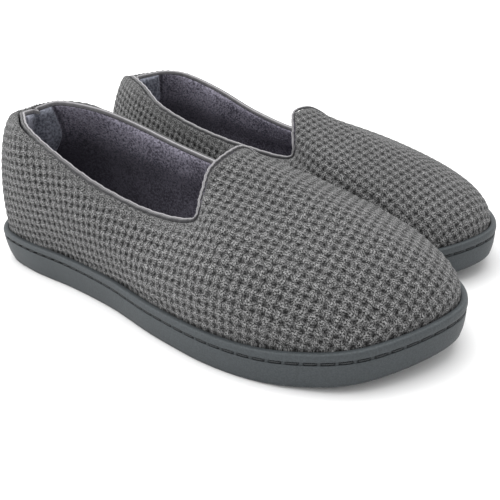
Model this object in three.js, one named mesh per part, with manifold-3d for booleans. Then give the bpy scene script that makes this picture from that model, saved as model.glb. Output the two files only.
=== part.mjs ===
import * as THREE from 'three';
import { LoftGeometry } from 'three/addons/geometries/LoftGeometry.js';
import { mergeVertices } from 'three/addons/utils/BufferGeometryUtils.js';
import Module from 'manifold-3d';

// A pair of slip-on slippers: a knitted upper on a moulded rubber cup sole.
// Millimetres, +X to the toes, +Y to the wearer's left, +Z up.
// A slipper is drawn as the right foot with its heel at x = 0 and its sole on z = 0.

// sole
const soleLength = 265;
const heelWidth = 70;
const waistWidth = 79;
const ballWidth = 103;
const toeSpring = 8;
const springStart = 190;
const lipHeightHeel = 18.6;
const lipHeightToe = 16;
const lipDip = 1;
const lipWidth = 3;
const lipRound = 0.9;
const grooveBelowLipHeel = 3.2;
const grooveBelowLipToe = 4.3;
const grooveDepth = 1.4;
const grooveHeight = 1.6;
const threadRadius = 0.4;
const wallSlopeSide = 1.6;
const wallSlopeHeel = 3;
const heelSlopeLength = 60;
const bellyShare = 0.4;
const edgeChamfer = 0.8;
const soleFloor = 4.5;
const treadPitch = 12;
const treadGroove = 2.6;
const treadDepth = 1.6;
const treadMargin = 9;

// upper: where its edge, the topline, runs
const collarSetback = 11;
const mouthLength = 147;
const mouthWidth = 66;
const heelCollarHeight = 83.5;
const sideCollarHeight = 52;
const tongueHeight = 73.5;

// thicknesses
const clearance = 0.3;
const knitThickness = 1.8;
const liningThickness = 2;
const counterThickness = 1.2;
const puffThickness = 0.8;
const collarFoamThickness = 3;
const heelGripThickness = 1.5;
const midsoleHeel = 5.5;
const midsoleBall = 3;
const boardThickness = 1.4;
const footbedThickness = 4.5;
const sockThickness = 1.2;
const marginWidth = 12;
const pipingWidth = 3.4;
const pipingWidthTongue = 1.8;
const pipingHeight = 2.6;

// where the left slipper stands beside the right one
const pairForward = -16.7;
const pairSideways = 95.5;
const pairTurn = THREE.MathUtils.degToRad(2.5);

// Plan of the sole's lip: share of the length, then lateral and medial shares of a width.
const outlineKeys = [
	[0, 0, 0, heelWidth],
	[0.017, -0.243, 0.243, heelWidth],
	[0.068, -0.428, 0.428, heelWidth],
	[0.158, -0.5, 0.504, heelWidth],
	[0.283, -0.462, 0.466, waistWidth],
	[0.415, -0.519, 0.481, waistWidth],
	[0.555, -0.48, 0.408, ballWidth],
	[0.697, -0.524, 0.471, ballWidth],
	[0.825, -0.477, 0.478, ballWidth],
	[0.932, -0.31, 0.427, ballWidth],
	[1, 0.095, 0.095, ballWidth],
];

// The topline: share of the mouth's length, of its width, then of a height.
const toplineLateral = [
	[0, -0.015, 0.91, heelCollarHeight],
	[0.03, -0.18, 0.965, heelCollarHeight],
	[0.095, -0.326, 1, heelCollarHeight],
	[0.224, -0.402, 0.958, heelCollarHeight],
	[0.381, -0.447, 1.375, sideCollarHeight],
	[0.585, -0.455, 1.163, sideCollarHeight],
	[0.81, -0.424, 0.99, sideCollarHeight],
	[0.986, -0.424, 1, sideCollarHeight],
	[0.986, -0.3, 0.838, tongueHeight],
	[0.963, -0.139, 0.943, tongueHeight],
	[0.966, 0.067, 1, tongueHeight],
];
const toplineMedial = [
	[0.963, 0.256, 0.99, tongueHeight],
	[0.993, 0.382, 0.878, tongueHeight],
	[1, 0.477, 1, sideCollarHeight],
	[0.823, 0.523, 1.048, sideCollarHeight],
	[0.588, 0.523, 1.183, sideCollarHeight],
	[0.378, 0.477, 1.375, sideCollarHeight],
	[0.224, 0.379, 0.964, heelCollarHeight],
	[0.095, 0.265, 1, heelCollarHeight],
	[0.02, 0.129, 0.97, heelCollarHeight],
];

// How the knit leaves the sole (rise, bulge) and reaches the topline (forward, outward, down).
const shapeKeys = [
	[26, 2, -3, 0, -7],
	[25, 2, 6, 3, -12],
	[26, 2, 6, 5, -13.5],
	[24, 3, 0, 6, -14],
	[20, 3, 0, 4, -14],
	[16, 4, 2, 5, -12],
	[18, 5, 6, 9, -10],
	[22, 5, 12, 14, -6],
	[26, 4.5, 15, 15, -8.5],
	[25, 2, 13, 8, -12],
	[24, 2, 33, 0, -12],
	[23, 4, 19, 9, -11.5],
	[25, 4.5, 17.5, 15, -7.5],
	[22, 5, 12, 14, -6],
];

const keyCount = 20;
const heart = new THREE.Vector3( soleLength / 2, 0, lipHeightHeel );
const columns = 40;
const cordSides = 6;
const nearTop = 0.97;
const rows = [0, 0.08, 0.2, 0.38, 0.56, 0.74, 0.88, 1];

const wasm = await Module();
wasm.setup();

const colours = {
	rubber: 0x5e6366,
	thread: 0x3c4145,
	knit: 0x6f6f6f,
	lining: 0x46444d,
	grip: 0x53555f,
	piping: 0x8b898c,
	foam: 0xb9b39c,
	board: 0xa58d68,
};

function material( colour, roughness ) {

	return new THREE.MeshStandardMaterial( { color: colours[ colour ], roughness, metalness: 0 } );

}

// A closed Catmull-Rom curve through the keys, read at a share of its way round.
function loopThrough( points ) {

	const curve = new THREE.CatmullRomCurve3( points, true, 'catmullrom', 0.5 );
	return ( u ) => curve.getPoint( ( ( u % 1 ) + 1 ) % 1 );

}

function mirroredKeys( keys ) {

	return keys.concat( keys.slice( 1, - 1 ).reverse() );

}

const outlineCurve = loopThrough( mirroredKeys( outlineKeys ).map( ( key, index ) => {

	const [ along, lateral, medial, width ] = key;
	const across = index <= keyCount / 2 ? lateral : medial;
	return new THREE.Vector3( along * soleLength, across * width, 0 );

} ) );

function springAt( x ) {

	const share = Math.max( 0, ( x - springStart ) / ( soleLength - springStart ) );
	return toeSpring * share * share;

}

function lipAt( x ) {

	const share = THREE.MathUtils.clamp( x / soleLength, 0, 1 );
	const dip = lipDip * 4 * share * ( 1 - share );
	return THREE.MathUtils.lerp( lipHeightHeel, lipHeightToe, share ) - dip + springAt( x );

}

function grooveAt( x ) {

	const share = THREE.MathUtils.clamp( x / soleLength, 0, 1 );
	return lipAt( x ) - THREE.MathUtils.lerp( grooveBelowLipHeel, grooveBelowLipToe, share );

}

function wallSlopeAt( x ) {

	return wallSlopeSide + wallSlopeHeel * Math.max( 0, 1 - x / heelSlopeLength );

}

function midsoleTopAt( x ) {

	const share = THREE.MathUtils.clamp( x / springStart, 0, 1 );
	return springAt( x ) + soleFloor + clearance + THREE.MathUtils.lerp( midsoleHeel, midsoleBall, share );

}

const marginTop = clearance + knitThickness;
const boardTop = marginTop + clearance + boardThickness;
const footbedTop = boardTop + clearance + footbedThickness;
const sockTop = footbedTop + clearance + sockThickness;

function outward( u ) {

	const step = 0.004;
	const run = outlineCurve( u + step ).sub( outlineCurve( u - step ) );
	return new THREE.Vector3( - run.y, run.x, 0 ).normalize().negate();

}

// One point of a ring: the lip's outline moved inwards, at a height that may follow x.
function ringPoint( u, inset, height ) {

	const point = outlineCurve( u ).addScaledVector( outward( u ), - inset );
	point.z = height( point.x );
	return point;

}

function ring( inset, height ) {

	return Array.from( { length: columns }, ( _, index ) => {

		const u = index / columns;
		const depth = typeof inset === 'number' ? inset : inset( outlineCurve( u ).x );
		return ringPoint( u, depth, height );

	} );

}

// The centre line between the two halves of a ring, which closes a floor or a ceiling.
function spineOf( edge, height ) {

	return edge.map( ( point, index ) => {

		const middle = point.clone().add( edge[ ( columns - index ) % columns ] ).multiplyScalar( 0.5 );
		middle.z = height( middle.x );
		return middle;

	} );

}

function weld( geometry ) {

	const plain = new THREE.BufferGeometry().copy( geometry );
	plain.deleteAttribute( 'normal' );
	plain.deleteAttribute( 'uv' );
	const welded = mergeVertices( plain, 1e-4 );
	const index = welded.index.array;
	const kept = [];
	for ( let i = 0; i < index.length; i += 3 ) {

		const [ a, b, c ] = index.slice( i, i + 3 );
		if ( a !== b && b !== c && c !== a ) kept.push( a, b, c );

	}

	welded.setIndex( kept );
	return welded;

}

// Every four-sided face is split along the diagonal that lies farther out, on all layers alike.
function loft( sections, caps = {} ) {

	const geometry = new LoftGeometry( sections, caps );
	const position = geometry.attributes.position;
	const corner = ( vertex ) => new THREE.Vector3().fromBufferAttribute( position, vertex );
	const reach = ( one, other ) => corner( one ).add( corner( other ) ).multiplyScalar( 0.5 ).distanceTo( heart );
	const index = geometry.index.array;
	const quads = ( sections.length - 1 ) * sections[ 0 ].length;
	for ( let start = 0; start < quads * 6; start += 6 ) {

		const [ a, b, d, , c ] = index.slice( start, start + 6 );
		if ( reach( a, c ) > reach( b, d ) ) index.set( [ a, b, c, a, c, d ], start );

	}

	return weld( geometry );

}

// Rings from the bottom's centre line, round the edge, to the top's centre line.
function stackRings( rings, bottom, top ) {

	const first = spineOf( rings[ 0 ], bottom );
	const last = spineOf( rings[ rings.length - 1 ], top );
	return loft( [ first, ...rings, last ] );

}

function slab( inset, bottom, top ) {

	return stackRings( [ ring( inset, bottom ), ring( inset, top ) ], bottom, top );

}

// ---- the upper's outer surface, from four loops: sole edge, two handles and topline

function alongNormal( key ) {

	return outward( key / keyCount );

}

const upperInset = lipWidth + clearance;
const upperStart = ( x ) => lipAt( x ) + clearance;

const edgeKeys = Array.from( { length: keyCount }, ( _, key ) => ringPoint( key / keyCount, upperInset, upperStart ) );

const toplineKeys = toplineLateral.concat( toplineMedial ).map( ( [ along, across, up, height ] ) => {

	return new THREE.Vector3( collarSetback + along * mouthLength, across * mouthWidth, up * height );

} );

function shapeAt( key ) {

	return shapeKeys[ key < shapeKeys.length ? key : keyCount - key ];

}

const riseKeys = edgeKeys.map( ( point, key ) => {

	const [ rise, bulge ] = shapeAt( key );
	const handle = point.clone().addScaledVector( alongNormal( key ), bulge );
	handle.z += rise;
	return handle;

} );

const reachKeys = toplineKeys.map( ( point, key ) => {

	const [ , , forward, aside, down ] = shapeAt( key );
	const side = key <= keyCount / 2 ? - 1 : 1;
	return point.clone().add( new THREE.Vector3( forward, side * aside, down ) );

} );

const edgeLoop = loopThrough( edgeKeys );
const riseLoop = loopThrough( riseKeys );
const reachLoop = loopThrough( reachKeys );
const toplineLoop = loopThrough( toplineKeys );

function upperPoint( u, v ) {

	return new THREE.CubicBezierCurve3( edgeLoop( u ), riseLoop( u ), reachLoop( u ), toplineLoop( u ) ).getPoint( v );

}

function upperNormal( u, v ) {

	const step = 0.01;
	const low = Math.max( 0, v - step );
	const high = Math.min( 1, v + step );
	const round = upperPoint( u + step, v ).sub( upperPoint( u - step, v ) );
	const up = upperPoint( u, high ).sub( upperPoint( u, low ) );
	return round.cross( up ).normalize();

}

// A point this far inside the knit's outer face.
function insidePoint( u, v, depth ) {

	return upperPoint( u, v ).addScaledVector( upperNormal( u, v ), - depth );

}

// ---- layers: each is a patch of columns and rows between two depths

const quarterEnd = 14;
const foamEnd = 12;
const counterEnd = 5;
const puffHalf = 4;
const gripEnd = 4;
const liningTopRow = 6;
const foamFirstRow = 4;
const counterTopRow = 3;
const puffTopRow = 2;
const gripFirstRow = 3;
const toeColumn = columns / 2;

function fromHeel( column ) {

	return Math.min( column, columns - column );

}

// What lies between knit and lining at a grid point.
function fillerAt( column, row ) {

	const heel = fromHeel( column );
	const inFoam = heel <= foamEnd && row >= foamFirstRow;
	const inCounter = heel <= counterEnd && row <= counterTopRow;
	const inPuff = Math.abs( column - toeColumn ) <= puffHalf && row <= puffTopRow;
	const foam = inFoam ? collarFoamThickness + clearance : 0;
	const counter = inCounter ? counterThickness + clearance : 0;
	const puff = inPuff ? puffThickness + clearance : 0;
	return Math.max( foam, counter, puff );

}

const underKnit = knitThickness + clearance;

function liningDepth( column, row ) {

	return underKnit + fillerAt( column, row );

}

// One closed profile of a layer: up its inner face and down its outer face.
function layerProfile( u, column, firstRow, lastRow, outerDepth, innerDepth, foot ) {

	const outer = [];
	const inner = [];
	for ( let row = firstRow; row <= lastRow; row ++ ) {

		outer.push( insidePoint( u, rows[ row ], outerDepth( column, row ) ) );
		inner.push( insidePoint( u, rows[ row ], innerDepth( column, row ) ) );

	}

	if ( foot ) {

		const outerFoot = outer[ 0 ].clone();
		const innerFoot = inner[ 0 ].clone();
		outerFoot.z = foot( outerFoot.x );
		innerFoot.z = foot( innerFoot.x );
		outer.unshift( outerFoot );
		inner.unshift( innerFoot );

	}

	return inner.concat( outer.reverse() );

}

function layer( { firstColumn, lastColumn, firstRow, lastRow, outerDepth, innerDepth, foot } ) {

	const sections = [];
	const endGap = 0.05;
	for ( let column = firstColumn; column <= lastColumn; column ++ ) {

		let place = column;
		if ( column === firstColumn ) place += endGap;
		if ( column === lastColumn ) place -= endGap;
		const wrapped = ( column + columns ) % columns;
		sections.push( layerProfile( place / columns, wrapped, firstRow, lastRow, outerDepth, innerDepth, foot ) );

	}

	return loft( sections, { capStart: true, capEnd: true } );

}

// ---- pieces

function makeOutsole() {

	const ground = ( x ) => springAt( x );
	const floor = ( x ) => springAt( x ) + soleFloor;
	const halfGroove = grooveHeight / 2;
	const rings = [
		ring( ( x ) => wallSlopeAt( x ) + edgeChamfer, ground ),
		ring( wallSlopeAt, ( x ) => springAt( x ) + edgeChamfer ),
		ring( ( x ) => wallSlopeAt( x ) * bellyShare, ( x ) => THREE.MathUtils.lerp( springAt( x ), grooveAt( x ), 0.5 ) ),
		ring( 0, ( x ) => grooveAt( x ) - halfGroove ),
		ring( grooveDepth, ( x ) => grooveAt( x ) - halfGroove ),
		ring( grooveDepth, ( x ) => grooveAt( x ) + halfGroove ),
		ring( 0, ( x ) => grooveAt( x ) + halfGroove ),
		ring( 0, ( x ) => lipAt( x ) - lipRound ),
		ring( lipRound, lipAt ),
		ring( lipWidth, lipAt ),
		ring( lipWidth, floor ),
	];
	return cutTread( stackRings( rings, ground, floor ) );

}

function toManifold( geometry ) {

	return new wasm.Manifold( new wasm.Mesh( {
		numProp: 3,
		vertProperties: Float32Array.from( geometry.attributes.position.array ),
		triVerts: Uint32Array.from( geometry.index.array ),
	} ) );

}

function fromManifold( solid ) {

	const mesh = solid.getMesh();
	const geometry = new THREE.BufferGeometry();
	geometry.setAttribute( 'position', new THREE.BufferAttribute( mesh.vertProperties, 3 ) );
	geometry.setIndex( new THREE.BufferAttribute( mesh.triVerts, 1 ) );
	return geometry;

}

// Straight grooves across the flat of the sole, each ending short of its edge.
function cutTread( geometry ) {

	let sole = toManifold( geometry );
	const lengthwise = springStart - treadPitch;
	for ( let x = 2 * treadPitch; x < lengthwise; x += treadPitch ) {

		const [ lateral, medial ] = widthAt( x );
		const across = medial - lateral - 2 * treadMargin;
		const bar = weld( new THREE.BoxGeometry( treadGroove, across, 2 * treadDepth ) );
		bar.translate( x, ( lateral + medial ) / 2, 0 );
		sole = sole.subtract( toManifold( bar ) );

	}

	return fromManifold( sole );

}

function widthAt( x ) {

	const edge = ring( 0, () => 0 );
	const half = columns / 2;
	const sides = [ edge.slice( 0, half + 1 ), edge.slice( half ).concat( edge[ 0 ] ).reverse() ];
	return sides.map( ( side ) => {

		const next = side.findIndex( ( point ) => point.x > x );
		const [ a, b ] = [ side[ next - 1 ], side[ next ] ];
		return THREE.MathUtils.lerp( a.y, b.y, ( x - a.x ) / ( b.x - a.x ) );

	} );

}

// An oval section of a cord, round a centre.
function ovalSection( centre, across, upwards, width, height ) {

	return Array.from( { length: cordSides }, ( _, side ) => {

		const angle = side / cordSides * 2 * Math.PI;
		const point = centre.clone().addScaledVector( across, width / 2 * Math.cos( angle ) );
		return point.addScaledVector( upwards, height / 2 * Math.sin( angle ) );

	} );

}

// A closed ring of sections: the last one repeats the first.
function closedLoft( sectionAt ) {

	return loft( Array.from( { length: columns + 1 }, ( _, step ) => sectionAt( step % columns ) ) );

}

function makeThread() {

	return closedLoft( ( column ) => {

		const u = column / columns;
		const centre = ringPoint( u, grooveDepth / 2, grooveAt );
		const up = new THREE.Vector3( 0, 0, 1 );
		return ovalSection( centre, outward( u ).negate(), up, 2 * threadRadius, 2 * threadRadius );

	} );

}

function makeKnit() {

	const top = rows.length - 1;
	return closedLoft( ( column ) => {

		const u = column / columns;
		const margin = ( inset, lift ) => ringPoint( u, inset, ( x ) => midsoleTopAt( x ) + lift );
		const profile = layerProfile( u, column, 0, top, () => 0, () => knitThickness );
		const under = [
			margin( upperInset, clearance ),
			margin( upperInset + marginWidth, clearance ),
			margin( upperInset + marginWidth, marginTop ),
			margin( upperInset + knitThickness, marginTop ),
		];
		return profile.concat( under );

	} );

}

const boardInset = upperInset + knitThickness + clearance;
const footbedInset = upperInset + underKnit + counterThickness + clearance + liningThickness + clearance;
const stackAt = ( lift ) => ( x ) => midsoleTopAt( x ) + lift;
const liningFoot = stackAt( boardTop + clearance );
const liningInner = ( column, row ) => liningDepth( column, row ) + liningThickness;

function makePiping() {

	return closedLoft( ( column ) => {

		const u = column / columns;
		const tongueShare = THREE.MathUtils.clamp( fromHeel( column ) - quarterEnd + 1, 0, 1 );
		const width = THREE.MathUtils.lerp( pipingWidth, pipingWidthTongue, tongueShare );
		const height = pipingHeight * width / pipingWidth;
		const inwards = upperNormal( u, 1 ).negate();
		const upwards = upperPoint( u, 1 ).sub( upperPoint( u, nearTop ) );
		upwards.addScaledVector( inwards, - upwards.dot( inwards ) ).normalize();
		const centre = insidePoint( u, 1, underKnit + width / 2 ).addScaledVector( upwards, - height / 2 );
		return ovalSection( centre, inwards, upwards, width, height );

	} );

}

const slipper = {
	outsole: [ makeOutsole(), material( 'rubber', 0.6 ) ],
	sole_stitch: [ makeThread(), material( 'thread', 0.8 ) ],
	midsole: [
		slab( boardInset, ( x ) => springAt( x ) + soleFloor + clearance, midsoleTopAt ),
		material( 'foam', 0.9 ),
	],
	insole_board: [
		slab( boardInset, stackAt( marginTop + clearance ), stackAt( boardTop ) ),
		material( 'board', 0.9 ),
	],
	footbed: [
		slab( footbedInset, stackAt( boardTop + clearance ), stackAt( footbedTop ) ),
		material( 'foam', 0.9 ),
	],
	sock_liner: [
		slab( footbedInset, stackAt( footbedTop + clearance ), stackAt( sockTop ) ),
		material( 'lining', 1 ),
	],
	knit_upper: [ makeKnit(), material( 'knit', 1 ) ],
	heel_counter: [
		layer( {
			firstColumn: - counterEnd, lastColumn: counterEnd, firstRow: 0, lastRow: counterTopRow,
			outerDepth: () => underKnit, innerDepth: () => underKnit + counterThickness, foot: liningFoot,
		} ),
		material( 'board', 0.8 ),
	],
	toe_puff: [
		layer( {
			firstColumn: toeColumn - puffHalf, lastColumn: toeColumn + puffHalf, firstRow: 0, lastRow: puffTopRow,
			outerDepth: () => underKnit, innerDepth: () => underKnit + puffThickness, foot: liningFoot,
		} ),
		material( 'board', 0.8 ),
	],
	collar_foam: [
		layer( {
			firstColumn: - foamEnd, lastColumn: foamEnd, firstRow: foamFirstRow, lastRow: liningTopRow,
			outerDepth: () => underKnit, innerDepth: () => underKnit + collarFoamThickness,
		} ),
		material( 'foam', 0.9 ),
	],
	quarter_lining: [
		layer( {
			firstColumn: - quarterEnd, lastColumn: quarterEnd, firstRow: 0, lastRow: liningTopRow,
			outerDepth: liningDepth, innerDepth: liningInner, foot: liningFoot,
		} ),
		material( 'lining', 1 ),
	],
	vamp_lining: [
		layer( {
			firstColumn: quarterEnd, lastColumn: columns - quarterEnd, firstRow: 0, lastRow: liningTopRow,
			outerDepth: liningDepth, innerDepth: liningInner, foot: liningFoot,
		} ),
		material( 'lining', 1 ),
	],
	heel_grip: [
		layer( {
			firstColumn: - gripEnd, lastColumn: gripEnd, firstRow: gripFirstRow, lastRow: liningTopRow,
			outerDepth: ( column, row ) => liningInner( column, row ) + clearance,
			innerDepth: ( column, row ) => liningInner( column, row ) + clearance + heelGripThickness,
		} ),
		material( 'grip', 1 ),
	],
	collar_piping: [ makePiping(), material( 'piping', 0.9 ) ],
};

function makeSlipper( side ) {

	const group = new THREE.Group();
	for ( const [ name, [ geometry, look ] ] of Object.entries( slipper ) ) {

		const mesh = new THREE.Mesh( geometry, look );
		mesh.name = `${ side }_${ name }`;
		group.add( mesh );

	}

	return group;

}

const right = makeSlipper( 'right' );
const left = makeSlipper( 'left' );
left.scale.y = - 1;
left.rotation.z = pairTurn;
left.position.set( pairForward, pairSideways, 0 );

// The origin is on the floor, under the middle of the pair.
const pair = new THREE.Group();
pair.add( right, left );
pair.updateMatrixWorld( true );
const extent = new THREE.Box3().setFromObject( pair, true );
const middle = extent.getCenter( new THREE.Vector3() );
pair.position.set( - middle.x, - middle.y, - extent.min.z );

export default pair;
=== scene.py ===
import math

import bmesh
import bpy
import numpy as np
from mathutils import Matrix, Vector


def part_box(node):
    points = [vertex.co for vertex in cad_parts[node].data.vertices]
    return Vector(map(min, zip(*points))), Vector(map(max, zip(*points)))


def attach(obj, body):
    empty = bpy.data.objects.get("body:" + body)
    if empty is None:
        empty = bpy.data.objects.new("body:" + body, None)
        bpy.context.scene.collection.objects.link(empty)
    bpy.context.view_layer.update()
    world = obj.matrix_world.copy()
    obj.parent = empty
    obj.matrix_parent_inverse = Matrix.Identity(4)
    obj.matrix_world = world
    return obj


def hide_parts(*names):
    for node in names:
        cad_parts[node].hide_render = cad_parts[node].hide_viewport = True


# A pair of knitted slip-on slippers, worked out as the right foot with its heel at x = 0,
# toes along +X and its sole on z = 0. Shapes are in millimetres until the mesh is made.

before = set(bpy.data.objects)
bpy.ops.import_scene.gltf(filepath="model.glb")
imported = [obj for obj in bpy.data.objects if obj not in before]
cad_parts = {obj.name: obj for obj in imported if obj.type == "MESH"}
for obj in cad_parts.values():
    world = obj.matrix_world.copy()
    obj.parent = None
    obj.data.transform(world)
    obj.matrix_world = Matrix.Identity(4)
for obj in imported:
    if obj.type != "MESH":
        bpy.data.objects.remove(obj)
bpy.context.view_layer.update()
mm = 0.001
print("frame loaded:", len(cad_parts), "nodes")

sole = {
    "length": 265, "heelWidth": 70, "waistWidth": 79, "ballWidth": 103,
    "toeSpring": 8, "springStart": 190,
    "lipHeel": 18.6, "lipToe": 16, "lipDip": 1, "lipWidth": 3,
    "grooveBelowHeel": 3.2, "grooveBelowToe": 4.3, "grooveDepth": 1.5, "grooveHeight": 1.4,
    "slopeSide": 1.3, "slopeHeel": 2, "heelSlopeLength": 60,
    "floor": 4.5, "midsoleHeel": 5.8, "midsoleBall": 3.3,
    "columns": 960,
}

upper = {
    "collarSetback": 11, "mouthLength": 147, "mouthWidth": 66,
    "heelHeight": 83.5, "sideHeight": 52, "tongueHeight": 73.5,
    "inset": 3.3, "aboveLip": 0.3, "footGap": 0.3,
    "knit": 1.8, "underKnit": 2.1, "lining": 2, "foam": 3.3, "counter": 1.5, "puff": 1.2,
    "boardTop": 3.8,
}

# the left slipper's turn in degrees, and the outline's length all round in millimetres
pair = {"turn": 2.5}
wayRound = 640

# steps over which runs are measured, as shares of the way round and up
nearby = {"outline": 0.004, "round": 0.006, "up": 0.01}

# shares of the length, then lateral and medial shares of the width named
outlineKeys = {
    "heelWidth": ((0, 0, 0), (0.017, -0.243, 0.243), (0.068, -0.428, 0.428), (0.158, -0.5, 0.504)),
    "waistWidth": ((0.283, -0.462, 0.466), (0.415, -0.519, 0.481)),
    "ballWidth": ((0.555, -0.48, 0.408), (0.697, -0.524, 0.471), (0.825, -0.477, 0.478),
                  (0.932, -0.31, 0.427), (1, 0.095, 0.095)),
}

# the collar's edge from the heel round the lateral side, the tongue and back:
# shares of the mouth's length, of its width and of the height named
collarKeys = [
    ("heelHeight", (0, -0.015, 0.91), (0.03, -0.18, 0.965), (0.095, -0.326, 1),
     (0.224, -0.402, 0.958)),
    ("sideHeight", (0.381, -0.447, 1.375), (0.585, -0.455, 1.163), (0.81, -0.424, 0.99),
     (0.986, -0.424, 1)),
    ("tongueHeight", (0.986, -0.3, 0.838), (0.963, -0.139, 0.943), (0.966, 0.067, 1),
     (0.963, 0.256, 0.99), (0.993, 0.382, 0.878)),
    ("sideHeight", (1, 0.477, 1), (0.823, 0.523, 1.048), (0.588, 0.523, 1.183),
     (0.378, 0.477, 1.375)),
    ("heelHeight", (0.224, 0.379, 0.964), (0.095, 0.265, 1), (0.02, 0.129, 0.97)),
]

# how the knit leaves the sole (rise, bulge) and reaches the collar (forward, outward, down)
shapeKeys = [
    (26, 2, -3, 0, -7),
    (25, 2, 6, 3, -12),
    (26, 2, 6, 5, -13.5),
    (24, 3, 0, 6, -14),
    (20, 3, 0, 4, -14),
    (16, 4, 2, 5, -12),
    (18, 5, 6, 9, -10),
    (22, 5, 12, 14, -6),
    (26, 4.5, 15, 15, -8.5),
    (25, 2, 13, 8, -12),
    (24, 2, 33, 0, -12),
    (23, 4, 19, 9, -11.5),
    (25, 4.5, 17.5, 15, -7.5),
    (22, 5, 12, 14, -6),
]
keyCount = 20

# round the heel the knit rolls over the padding and ends further in: key, where it ends
# (forward, sideways, up), then how the roll comes to it (outward, up); None leaves it as cut
rollKeys = {
    0: ((19, 0, 79.5), (8, 7)),
    1: ((22.5, -10, 80), (11, 6)),
    2: ((34, -19, 81.3), (9.5, 4)),
    3: ((46.8, -26.7, 78.2), (9, 3)),
    4: ((69, -30.2, 69.8), None),
    5: ((98, -30, 58), None),
    6: ((130, -28.5, 50.3), None),
    16: ((66.7, 31.3, 71), None),
    17: ((46.5, 22.2, 78.9), (6, 4.5)),
    18: ((29, 13, 82.3), (5, 6)),
    19: ((20.5, 5.5, 80.5), (6.5, 7)),
}


def closedCurve(keys, u):
    # closed Catmull-Rom curve through the keys, read at shares u of its way round
    keys = np.asarray(keys, float)
    step = (np.asarray(u, float) % 1) * len(keys)
    start = np.floor(step).astype(int) % len(keys)
    t = (step - np.floor(step))[..., None]
    a, b, c, d = (keys[(start + k) % len(keys)] for k in (-1, 0, 1, 2))
    return b + 0.5 * t * (c - a + t * (2 * a - 5 * b + 4 * c - d + t * (3 * (b - c) + d - a)))


def smooth(low, high, x):
    # 0 below low, 1 above high, an S between them: three t squared less two t cubed
    t = np.clip((x - low) / (high - low), 0, 1)
    return t * t * (3 - 2 * t)


def blend(low, high, share):
    # the straight line from low to high
    return low + (high - low) * share


def grid(u, v):
    # every u with every v
    return np.meshgrid(u, v, indexing="ij")


def distances(points):
    # how far each point is along its line, the straight steps before it added up
    return np.r_[0, np.cumsum(np.linalg.norm(np.diff(points, axis=0), axis=1))]


def bell(x, width):
    # 1 at x = 0, falling off as e to the minus square of x over the width
    return np.exp(-(x / width) ** 2)


def fromHeel(u):
    # share of the way round from the centre of the heel, 0.5 at the toe
    u = np.asarray(u, float) % 1
    return np.minimum(u, 1 - u)


def outlineXY():
    # the outline's keys as x and y: along the lateral side, then back along the medial side
    keys = [(x * sole["length"], a * sole[width], b * sole[width])
            for width, rows in outlineKeys.items() for x, a, b in rows]
    return np.array([(x, a) for x, a, b in keys] + [(x, b) for x, a, b in keys[-2:0:-1]])


outlinePoints = outlineXY()


def plan(u):
    # the outline's point at share u of its way round
    return closedCurve(outlinePoints, u)


def planOut(u):
    # level direction out of the outline: its run turned by a quarter turn
    run = plan(u + nearby["outline"]) - plan(u - nearby["outline"])
    out = np.stack([run[..., 1], -run[..., 0]], -1)
    return out / np.linalg.norm(out, axis=-1, keepdims=True)


def spring(x):
    # rise of the toe, growing with the square of the way past its start
    share = np.maximum(0, (x - sole["springStart"]) / (sole["length"] - sole["springStart"]))
    return sole["toeSpring"] * share * share


def lip(x):
    # top of the cup's wall: straight from heel to toe, less a parabola's dip, plus the toe's rise
    share = np.clip(x / sole["length"], 0, 1)
    height = blend(sole["lipHeel"], sole["lipToe"], share)
    return height - sole["lipDip"] * 4 * share * (1 - share) + spring(x)


def groove(x):
    # height of the stitch groove, further below the lip towards the toe in a straight line
    share = np.clip(x / sole["length"], 0, 1)
    return lip(x) - blend(sole["grooveBelowHeel"], sole["grooveBelowToe"], share)


def wallSlope(x):
    # how far the wall's foot stands in: even at the sides, more in a straight line to the heel
    return sole["slopeSide"] + sole["slopeHeel"] * np.maximum(0, 1 - x / sole["heelSlopeLength"])


def midsoleTop(x):
    # top of the midsole in the cup, thinning in a straight line from heel to ball
    share = np.clip(x / sole["springStart"], 0, 1)
    return spring(x) + sole["floor"] + blend(sole["midsoleHeel"], sole["midsoleBall"], share)


def upperLoops():
    # four closed loops: edge at the sole, handle above it, handle under the collar, collar
    u = np.arange(keyCount) / keyCount
    out = planOut(u)
    base = plan(u) - out * upper["inset"]
    edge = np.c_[base, lip(base[:, 0]) + upper["aboveLip"]]
    mirrored = [shapeKeys[k if k < len(shapeKeys) else keyCount - k] for k in range(keyCount)]
    riseBy, bulge, forward, aside, down = np.array(mirrored, float).T
    side = np.where(np.arange(keyCount) <= keyCount // 2, -1, 1)
    collar = np.array([(upper["collarSetback"] + along * upper["mouthLength"],
                        across * upper["mouthWidth"], up * upper[height])
                       for height, *rows in collarKeys for along, across, up in rows])
    rise = edge + np.c_[out * bulge[:, None], riseBy]
    reach = collar + np.c_[forward, side * aside, down]
    return edge, rise, reach, collar


def rolledLoops():
    # the same loops with the collar's end moved in, and its handle turned, where the knit rolls
    edge, rise, reach, collar = (loop.copy() for loop in plainLoops)
    out = planOut(np.arange(keyCount) / keyCount)
    for key, (end, roll) in rollKeys.items():
        handle = reach[key] - collar[key]
        collar[key] = end
        if roll:
            handle = np.array([*(out[key] * roll[0]), roll[1]])
        reach[key] = collar[key] + handle
    return edge, rise, reach, collar


plainLoops = upperLoops()
loops = rolledLoops()


def bezier(four, u, v):
    # cubic Bezier in v through four closed loops: sole edge, two handles, collar edge
    edge, rise, reach, collar = (closedCurve(loop, u) for loop in four)
    v = np.asarray(v, float)[..., None]
    lower = edge * (1 - v) ** 3 + 3 * rise * v * (1 - v) ** 2
    return lower + 3 * reach * v ** 2 * (1 - v) + collar * v ** 3


def upperPoint(u, v):
    # a place on the knit's outer face
    return bezier(loops, u, v)


def unit(vectors):
    # each vector over its own length
    return vectors / np.linalg.norm(vectors, axis=-1, keepdims=True)


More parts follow.
